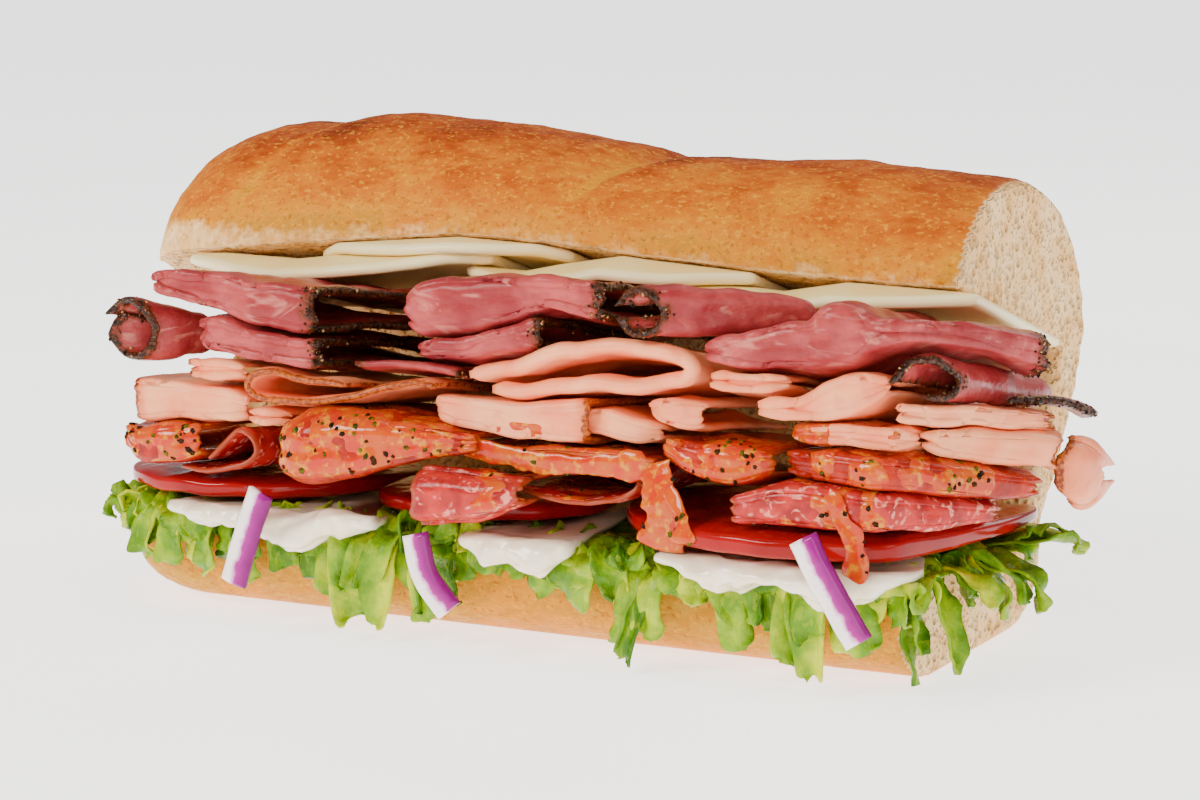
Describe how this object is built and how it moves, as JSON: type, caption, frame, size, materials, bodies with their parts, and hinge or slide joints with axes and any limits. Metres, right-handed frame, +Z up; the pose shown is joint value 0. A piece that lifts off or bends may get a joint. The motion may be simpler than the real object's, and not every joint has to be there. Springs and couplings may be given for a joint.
{
  "type": "italian sandwich",
  "caption": "Filled sub sandwich: a crusty roll hinged at its back and cut flat at one end, with cheese, folded meats, tomato, mayonnaise, onion and shredded lettuce along its open front.",
  "frame": {"origin": "on the table under the roll, on the flat of the roll's bottom crust, near the middle of its length", "axes": "+X along the roll to its cut end, -Y out of the open front, +Z up"},
  "size_m": [0.1824, 0.1005, 0.0819],
  "materials": {
    "crust": "baked golden crust with a pale porous crumb inside",
    "lettuce": "crisp, waxy leaf",
    "mayonnaise": "smooth and wet",
    "tomato": "smooth skin with wet cut faces",
    "onion": "translucent white with a purple edge",
    "cheese": "smooth and slightly waxy",
    "beef": "moist, marbled slice with a dark peppered edge",
    "ham": "moist slice with a thin browned edge",
    "pepperoni": "oily, coarse-grained slice",
    "salami": "oily slice marbled with fat"
  },
  "bodies": {
    "root": {"bread_roll": "crust", "lettuce": "lettuce", "mayonnaise_1": "mayonnaise", "mayonnaise_2": "mayonnaise", "mayonnaise_3": "mayonnaise", "tomato_1": "tomato", "tomato_2": "tomato", "tomato_3": "tomato", "onion_1": "onion", "onion_2": "onion", "onion_3": "onion", "cheese_1": "cheese", "cheese_2": "cheese", "cheese_3": "cheese", "cheese_4": "cheese", "beef_1": "beef", "beef_2": "beef", "beef_3": "beef", "beef_4": "beef", "beef_5": "beef", "beef_6": "beef", "beef_7": "beef", "beef_8": "beef", "beef_9": "beef", "beef_10": "beef", "ham_1": "ham", "ham_2": "ham", "ham_3": "ham", "ham_4": "ham", "ham_5": "ham", "ham_6": "ham", "ham_7": "ham", "ham_8": "ham", "ham_9": "ham", "ham_10": "ham", "ham_11": "ham", "ham_12": "ham", "ham_13": "ham", "ham_14": "ham", "pepperoni_1": "pepperoni", "pepperoni_2": "pepperoni", "pepperoni_3": "pepperoni", "pepperoni_4": "pepperoni", "pepperoni_5": "pepperoni", "salami_1": "salami", "salami_2": "salami", "salami_3": "salami", "salami_4": "salami"}
  },
  "joints": []
}
